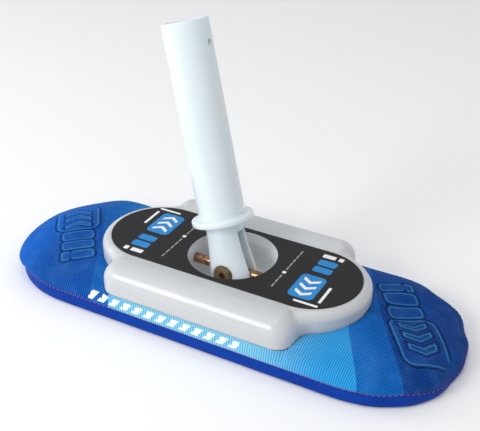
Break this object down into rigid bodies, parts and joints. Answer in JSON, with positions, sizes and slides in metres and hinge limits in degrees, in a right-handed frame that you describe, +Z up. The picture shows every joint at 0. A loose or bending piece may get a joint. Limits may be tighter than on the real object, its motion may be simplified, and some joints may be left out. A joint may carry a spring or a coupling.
{
  "type": "curling broom head",
  "caption": "Padded curling broom head with a clip-on swivel housing and a tilting tubular ferrule for the handle.",
  "frame": {"origin": "centre of the sole's flat underside, on the ice", "axes": "+X along the pad, +Y across the pad, +Z up"},
  "size_m": [0.228, 0.086, 0.1325],
  "materials": {
    "sole_cloth": "smooth woven cloth, satin",
    "foam": "closed-cell foam, matte",
    "plate_plastic": "moulded, matte",
    "printed_cloth": "finely ribbed printed cloth in bands of blue",
    "thread": "fine sewing thread",
    "catch_plastic": "moulded acetal",
    "housing_plastic": "translucent milky plastic, satin gloss",
    "label_film": "matte printed film",
    "cup_plastic": "moulded, satin",
    "screw_steel": "zinc-plated",
    "copper_alloy": "turned, worn bright",
    "ferrule_plastic": "translucent milky plastic, satin gloss",
    "bolt_bronze": "darkened bronze, worn"
  },
  "bodies": {
    "pad": {"sole_fabric": "sole_cloth", "sole_foam": "foam", "pad_plate": "plate_plastic", "crown_foam": "foam", "top_fabric": "printed_cloth", "seam_thread": "thread", "snap_catches": "catch_plastic"},
    "housing": {"housing_shell": "housing_plastic", "deck_label": "label_film", "swivel_cup": "cup_plastic", "cup_screws": "screw_steel"},
    "cross": {"cross_hub": "copper_alloy", "trunnion_pin_left": "copper_alloy", "trunnion_pin_right": "copper_alloy"},
    "ferrule": {"ferrule": "ferrule_plastic", "pivot_barrel": "bolt_bronze", "pivot_screw": "bolt_bronze"}
  },
  "joints": [
    {"name": "pad_release", "type": "slide", "parent": "pad", "child": "housing", "axis": [0, 0, 1], "range_m": [0, 0.025], "deforming": ["snap_catches"]},
    {"name": "cross_tilt", "type": "hinge", "parent": "housing", "child": "cross", "pos_m": [0, 0, 0.0177], "axis": [1, 0, 0], "range_deg": [-16, 34]},
    {"name": "fork_tilt", "type": "hinge", "parent": "cross", "child": "ferrule", "pos_m": [0, 0, 0.0177], "axis": [0, 0.9877, -0.1564], "range_deg": [-13, 47]}
  ]
}
